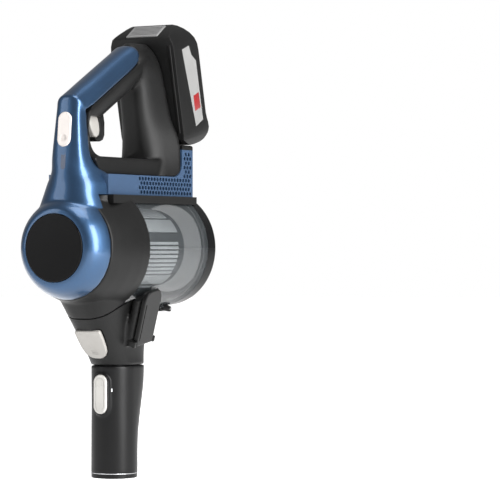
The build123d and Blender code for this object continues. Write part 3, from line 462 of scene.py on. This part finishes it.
NECK_FRONT = Matrix.Translation((0, -39.1, 133.5)) @ Matrix.Rotation(math.radians(37), 4, "X") \
    @ Matrix.Rotation(math.radians(-90), 4, "Z")
PADDLE_SEAT = Matrix.Translation((30.2, 2.0, 134.0)) @ Matrix.Rotation(math.radians(9), 4, "X") \
    @ Matrix.Rotation(math.radians(19), 4, "Y")
PACK_SEAT = Matrix.Translation((0, PACK_Y, PACK_Z)) @ Matrix.Rotation(LEAN, 4, "X")


def key_outline(grow):
    """Shield outline of the bin release key."""
    half = [(13.2, 17.2), (14.6, 16.4), (15.0, 15.0), (14.9, 6), (14.0, -4), (12.4, -10),
            (10.0, -13.6), (6.6, -16.0), (3, -16.9)]
    return [(x + math.copysign(grow, x), z + math.copysign(grow, z)) for x, z in mirrored(half)]


def neck():
    """Neck under the bin, with its key pocket, paddle seat and lugs, and the spigot below it."""
    seat = placed(block("seat", rectangle(-18, 18, -1, 56), -9, -1.6), PADDLE_SEAT)
    body = fuse("neck_body", [neck_skin("neck_outer"), seat], voxel=1.3, rounds=6)
    cut(body, above_edge("chin_room", 0.5))
    cut(body, lathe("bell_room", [(-130, CORE), (-130, 62.2), (BELL_BACK, 62.2), (BELL_BACK, 60.6),
                                  (80, 60.6), (80, CORE)]))
    cut(body, block("foot", rectangle(-90, 90, 60, 112.4), -90, 90))
    cut(body, placed(block("key_pocket", key_outline(0.4), -6, 8), NECK_FRONT))
    cut(body, lathe("duct", plug(60, 200, 14), axis="Z"))
    cut(body, placed(block("paddle_room", rectangle(-15.4, 15.4, -4, 62), -1.3, 30), PADDLE_SEAT))
    finish_piece(body, "hand_unit", "black_satin", "black_satin", "inlet_neck")
    spigot = lathe("spigot", [(76.2, 14.0), (76.2, 15.6), (76.9, 16.3), (112.6, 16.3),
                              (112.6, 14.0)], axis="Z")
    finish_piece(spigot, "hand_unit", "black_satin", "black_satin")
    for side in (-1, 1):
        y = side * 17.4
        lug = block("paddle_lug", rectangle(y - 1.6, y + 1.6, 0, 6), -5, 4)
        bevel(placed(lug, PADDLE_SEAT), 0.5)
        finish_piece(lug, "hand_unit", "black_satin", "black_satin")


def release_key():
    """Silver shield key with three fine grip lines."""
    key = placed(block("release_key", key_outline(0.0), -2.6, 1.1), NECK_FRONT)
    bevel(key, 0.9, segments=4)
    for step in range(3):
        low = -11.0 + 2.0 * step
        line = block("line", rectangle(-3.4, 3.4, low, low + 0.7), 0.8, 2)
        cut(key, placed(line, NECK_FRONT))
    finish_piece(key, "release_button", "silver_key", "silver_key", "bin_release_button")


# ---------------------------------------------------------------- small marks
def pack_marks():
    """Red patch on each of the pack's labels."""
    for side in (-1, 1):
        patch = block("label_patch", [(27.0, 26.0), (38.2, 28.0), (38.2, 44.0), (27.0, 42.0)],
                      *on_side(side, 37.9, 38.1))
        placed(patch, PACK_SEAT)
        bevel(patch, 0.05, segments=2)
        finish_piece(patch, "battery_pack", "label_red", "label_silver")


def sleeve_marks():
    """Bright line over the end ring and the small tick beside the sleeve's button."""
    line = lathe("ring_line", [(4.6, 22.0), (4.6, 23.25), (4.9, 23.42), (5.2, 23.25), (5.2, 22.0)],
                 axis="Z")
    finish_piece(line, "sleeve", "alloy", "sleeve_black")
    turn = Matrix.Rotation(math.radians(-63), 4, "Z")
    outline = arc(0, 89.2, 0.55, 0, 180, 8) + arc(0, 87.0, 0.55, 180, 360, 8)
    tick = block("tick", outline, 22.6, 23.6)
    placed(tick, turn)
    finish_piece(tick, "sleeve", "print_white", "sleeve_black")


def pill_outline(length, width, steps=14):
    """Upright pill as across, up."""
    r = width / 2
    reach = length / 2 - r
    return arc(0, reach, r, 0, 180, steps) + arc(0, -reach, r, 180, 360, steps)


SLEEVE_FRONT = Matrix.Translation((0, 0, 84.0)) @ Matrix.Rotation(math.radians(-90), 4, "Z")


def sleeve():
    """Wand sleeve whose rear swells into the wiring rib, with a raised rim round its button."""
    rises = ((SLEEVE_FOOT, SLEEVE_R, 0.5, 2), (36, 23.6, 0.5, 2.02), (56, 25.6, 0.51, 2.2),
             (76, 29.2, 0.53, 2.5), (94, 32.2, 0.56, 2.8), (SLEEVE_TOP, 33.2, 0.57, 2.9))
    tube = skin("sleeve", [(-SLEEVE_R, z, rear, z, SLEEVE_R, SLEEVE_R, full, 2, square)
                           for z, rear, full, square in rises], steps=6, around=96)
    rim = placed(block("rim", pill_outline(42.6, 19.0), 15, 25.3), SLEEVE_FRONT)
    body = fuse("sleeve_body", [tube, rim], voxel=1.1, rounds=5)
    cut(body, block("sleeve_ends", rectangle(-60, 60, SLEEVE_TOP, 130), -60, 60))
    cut(body, block("sleeve_base", rectangle(-60, 60, -5, SLEEVE_FOOT), -60, 60))
    cut(body, lathe("socket", plug(-5, 130, 17.5), axis="Z"))
    cut(body, placed(block("button_pocket", pill_outline(39.8, 16.2), 19.6, 40), SLEEVE_FRONT))
    cut(body, block("plug_socket", rectangle(25.2, 30.4, 103, 120), -6.6, 6.6))
    finish_piece(body, "sleeve", "sleeve_black", "sleeve_black", "sleeve_tube")
    for rise, radius in ((11.0, 4.3), (-11.5, 3.6)):
        ring = block("button_ring", arc(0, rise, radius, 0, 360, 28)[:-1], 26.0, 27.1)
        cut(ring, block("button_ring_hole", arc(0, rise, radius - 0.9, 0, 360, 28)[:-1], 20, 30))
        placed(ring, SLEEVE_FRONT)
        finish_piece(ring, "sleeve_button", "silver_bright", "silver_key")


def hinge_cheeks():
    """Dark outer halves of the lid's hinge, on the bin."""
    for side in (-1, 1):
        outline = [(76.5, 168.5), (78.5, 165.2), (87, 163.8)] + arc(90.6, 166.4, 3.0, -90, 60, 8)
        outline += [(84, 171.2), (77.5, 171.0)]
        cheek = block("hinge_cheek", outline, *on_side(side, 5.1, 9.3))
        bevel(cheek, 0.6)
        finish_piece(cheek, "dust_bin", "black_gloss", "smoke_clear")


def pack():
    """Battery case with a sloping top, swollen foot and rounded shoulders, and its ribbed key."""
    side = [(-0.1, 0.6), (4, -1.6), (10, -5), (16, -7.2), (24, -7.8), (36, -7.4), (42, -5.6),
            (46.5, -2.4), (49.6, 1.6), (50.8, 6), (50.3, 11), (48.8, 16), (48, 21), (48, 86),
            (47, 93), (44.2, 99.5), (40, 105.4), (34.5, 111), (30, 114.6), (26, 116.4),
            (22, 116.2), (2.4, 108.4), (-0.1, 106.6)]
    body = block("pack_body", side, -38, 38)
    front = [(33, -9), (35.4, -5), (37.2, 0), (38, 5), (38, 94), (37.2, 100), (34.8, 106),
             (31.4, 110.8), (27.4, 114.4), (23, 117)]
    face = block("pack_front", mirrored(front), -60, 5)
    cut(body, placed(face, Matrix.Rotation(math.radians(-90), 4, "Z")), "INTERSECT")
    bevel(body, 2.2, segments=4, angle=28)
    cut(body, block("tongue_slot", rectangle(-3, 4, -12, 84.3), -12.3, 12.3))
    cut(body, block("tongue_head", rectangle(2.7, 8.3, -12, 84.3), -16.8, 16.8))
    label = [(25.5, 10.5), (40.5, 15.0), (40.0, 76.5), (32.5, 83.5), (29.5, 93.5), (15.5, 91.5)]
    cut(body, block("label_left", label, -39, -37.2))
    cut(body, block("label_right", label, 37.2, 39))
    recess = [(1.6 + 0.93 * run, 107.4 + 0.372 * run - 0.2) for run in (0, 23)]
    cut(body, block("key_recess", recess + [(22, 120), (-2, 112)], -19.6, 19.6))
    placed(body, PACK_SEAT)
    finish_piece(body, "battery_pack", "black_satin", "black_satin", "pack_case")
    tilt = Matrix.Translation((0, 2.4, 107.9)) @ Matrix.Rotation(math.radians(21.8), 4, "X")
    key = block("pack_key", rectangle(0, 20.5, -2, 1.1), -19, 19)
    bevel(key, 0.7)
    for rib in range(6):
        y = 3.0 + 2.7 * rib
        cut(key, block("rib", rectangle(y, y + 1.0, 0.6, 3), -16.5, 16.5))
    placed(placed(key, tilt), PACK_SEAT)
    finish_piece(key, "pack_button", "key_grey", "key_grey", "pack_button")
    for hand in (-1, 1):
        rail = block("pack_rail", [(-0.9, 8), (1, 8), (1, 100), (-0.9, 98)],
                     *on_side(hand, 31.0, 34.4))
        bevel(rail, 0.7)
        placed(rail, PACK_SEAT)
        finish_piece(rail, "battery_pack", "black_satin", "black_satin")


# ---------------------------------------------------------------- trigger
def finger_trigger():
    """Silver trigger blade edged by a dark pad."""
    outline = [(-57, 366), (-49, 366), (-42.4, 359.5), (-38.4, 352), (-37.2, 345), (-38.2, 340.5),
               (-42, 337.6), (-47, 338.4), (-52, 345), (-57, 356)]
    blade = block("trigger_blade", outline, -7.5, 7.5)
    bevel(blade, 1.6, segments=4, angle=20)
    finish_piece(blade, "trigger", "silver_key", "silver_key", "trigger")
    outline = [(-57, 370.8), (-57, 366.3), (-48.8, 366.3), (-42.1, 359.7), (-38.1, 352),
               (-36.9, 345), (-37.9, 340.2), (-42, 337.2), (-45.5, 337.3), (-43.0, 334.2),
               (-36.5, 333.8), (-31.2, 335.6), (-28.4, 340.4), (-28.3, 353), (-31, 363.5),
               (-37, 370.8)]
    pad = block("trigger_edge", outline, -7.4, 7.4)
    bevel(pad, 1.2, segments=3, angle=20)
    finish_piece(pad, "trigger", "black_satin", "seal_rubber", "trigger_pad")


# ---------------------------------------------------------------- black inner handle
def handle_inner():
    """Column, lower half of the grip, bar floor and hole lining in one skin."""
    column = skin("column", [
        (36.0, 301, 72, 301, 24, 35.3, 0.3, 4, 18),
        (37.0, 320, 72, 320, 18, 35.2, 0.3, 4, 18),
        (34.4, 340, 71.4, 340, 15, 34.2, 0.3, 4, 12),
        (31.0, 358, 67.2, 358, 14.5, 29.0, 0.3, 4, 8),
        (28.0, 375, 63.3, 375, 14.5, 26.5, 0.3, 4, 8),
        (23.5, 399, 57.8, 399, 15.0, 24.3, 0.3, 4, 8),
        (14.0, 414, 54.4, 414, 16.0, 22.0, 0.3, 3, 8),
        (16.0, 427, 51.2, 427, 13.0, 17.0, 0.4, 3, 6),
        (24.0, 435.5, 49.2, 435.5, 7.0, 9.0, 0.4, 2.4, 4),
    ], steps=6, around=56)
    runs = (-50, -40, -15, 20, 44, 60, 72)
    lower = skin("lower_grip", [(*grip_point(run, 2.9), *grip_point(run, -21), 18, 17, 0.97, 8, 2.2)
                                for run in runs], steps=6, around=56)
    floor = block("floor", rectangle(-69.8, 71, 301, 318.5), -24, 24)
    lining = block("lining", [(-69.8, 305), (-52, 305), (-52, 330), (-67.5, 340), (-67.5, 359),
                              (-60, 364), (-69.8, 366)], -15.5, 15.5)
    body = fuse("handle_inner", [column, lower, floor, lining], voxel=1.4, rounds=9)
    hole = arc(-47.5, 338.5, 20, 180, 270) + [(30, 318.5), (38.3, 318.5), (25.5, 388.5),
                                              (19, 386.5), (-30, 359.2), (-34, 358), (-67.5, 358)]
    cut(body, block("hole", hole, -60, 60))
    parting = [grip_point(run, rise) for run, rise in
               ((-40, 2.6), (44, 2.9), (56, 5.6), (62.5, 10.6), (65.3, 16), (66, 40))]
    blue = [(-140, 290), (-70, 290), (-70, 362)] + parting + [(-140, 460)]
    cut(body, block("blue_space", blue, -70, 70))
    heel = [(-71, 300)] + arc(-50, 321, 20, 270, 180) + [(-71, 321)]
    cut(body, block("heel_space", heel, -70, 70))
    cut(body, block("riser_space", [(73, 300), (73, 315)] + arc(58, 315, 14, 0, -90), -70, 70))
    cut(body, block("below", rectangle(-140, 140, 290, 301.0), -70, 70))
    return finish_piece(body, "hand_unit", "black_satin", "black_satin", "handle_core")


# ---------------------------------------------------------------- filter seen through the bin
def filter_drum():
    """Dark drum with windows of pale slats between plain bands."""
    body = lathe("filter_drum", [(-36, 30), (-36, 39.0), (70, 39.0), (72, 37.5), (72, 30)],
                 around=144)
    finish_piece(body, "filter_cartridge", "filter_grey", "filter_grey", "filter_cage")
    bm = bmesh.new()
    pitch = math.radians(6.4)
    for group in range(4):
        for slat in range(8):
            middle = math.radians(-38 + 90 * group) + pitch * slat
            add_curved_bar(bm, middle - 0.3 * pitch, middle + 0.3 * pitch, -26, 58, 39.0, 40.2)
        start = math.radians(24 + 90 * group)
        add_curved_bar(bm, start, start + math.radians(22), -26, 62, 39.0, 39.7)
    slats = new_object("filter_slats", bm)
    finish_piece(slats, "filter_cartridge", "slat_grey", "filter_grey")


def add_curved_bar(bm, a0, a1, y0, y1, r0, r1, steps=6):
    """Bar along Y that follows the drum between two angles."""
    loops = []
    for k in range(steps + 1):
        a = a0 + (a1 - a0) * k / steps
        loops.append([bm.verts.new((r * math.cos(a), y, AXIS_Z + r * math.sin(a)))
                      for r, y in ((r0, y0), (r1, y0 + 1), (r1, y1 - 1), (r0, y1))])
    for near, far in zip(loops, loops[1:]):
        bridge(bm, near, far)
    bm.faces.new(loops[0])
    bm.faces.new(list(reversed(loops[-1])))


# ---------------------------------------------------------------- stage
def stage():
    """Wide pale floor, open on all sides."""
    bm = bmesh.new()
    angles = [2 * math.pi * k / 48 for k in range(48)]
    bm.faces.new([bm.verts.new((FLOOR_RADIUS * math.cos(a), FLOOR_RADIUS * math.sin(a), 0))
                  for a in angles])
    floor = linked("floor", bm)
    white = surface("floor_white", (0.90, 0.90, 0.90), 0.7, grain=80, bump=0.01, spread=0.01)
    shader = white.node_tree.nodes["Principled BSDF"]
    shader.inputs["Emission Color"].default_value = (1, 1, 1, 1)
    shader.inputs["Emission Strength"].default_value = FLOOR_GLOW
    floor.data.materials.append(white)


def area_light(name, place, target, size, power, colour=(1, 1, 1)):
    data = bpy.data.lights.new(name, "AREA")
    data.shape = "RECTANGLE"
    data.size, data.size_y = size
    data.energy = power
    data.color = colour
    obj = bpy.data.objects.new(name, data)
    obj.location = place
    obj.rotation_euler = (Vector(target) - Vector(place)).to_track_quat("-Z", "Y").to_euler()
    bpy.context.scene.collection.objects.link(obj)


def lights():
    middle = (0, 0, 0.25)
    area_light("key", (1.45, -0.35, 0.75), middle, (0.60, 1.5), 60)
    area_light("fill", (-1.2, -1.5, 0.9), middle, (0.5, 1.4), 9)
    area_light("top", (0.3, -0.2, 1.9), middle, (1.0, 1.0), 22)
    world = bpy.data.worlds.new("studio")
    world.use_nodes = True
    nodes, links = world.node_tree.nodes, world.node_tree.links
    nodes["Background"].inputs["Color"].default_value = (1, 1, 1, 1)
    path = nodes.new("ShaderNodeLightPath")
    seen = nodes.new("ShaderNodeMapRange")
    seen.inputs["To Min"].default_value = WORLD_LIGHT
    seen.inputs["To Max"].default_value = WORLD_SEEN
    links.new(path.outputs["Is Camera Ray"], seen.inputs["Value"])
    links.new(seen.outputs["Result"], nodes["Background"].inputs["Strength"])
    bpy.context.scene.world = world
    bpy.context.scene.view_settings.view_transform = "Standard"


def camera():
    """Level camera, to the right of the front, with the object left of the middle."""
    right = Vector((math.cos(VIEW_AZIMUTH), math.sin(VIEW_AZIMUTH), 0))
    ahead = Vector((-math.sin(VIEW_AZIMUTH), math.cos(VIEW_AZIMUTH), 0))
    target = right * VIEW_RIGHT + Vector((0, 0, VIEW_HEIGHT))
    data = bpy.data.cameras.new("camera")
    data.sensor_width = SENSOR_WIDTH
    data.lens = SENSOR_WIDTH * VIEW_DISTANCE / VIEW_WIDTH
    obj = bpy.data.objects.new("camera", data)
    obj.location = target - ahead * VIEW_DISTANCE
    obj.rotation_euler = ahead.to_track_quat("-Z", "Y").to_euler()
    bpy.context.scene.collection.objects.link(obj)
    bpy.context.scene.camera = obj


# ---------------------------------------------------------------- build
dress_cad()
front_moulding()
housing()
neck()
release_key()
handle_inner()
finger_trigger()
pack()
pack_marks()
sleeve()
sleeve_marks()
hinge_cheeks()
filter_drum()
stage()
lights()
camera()
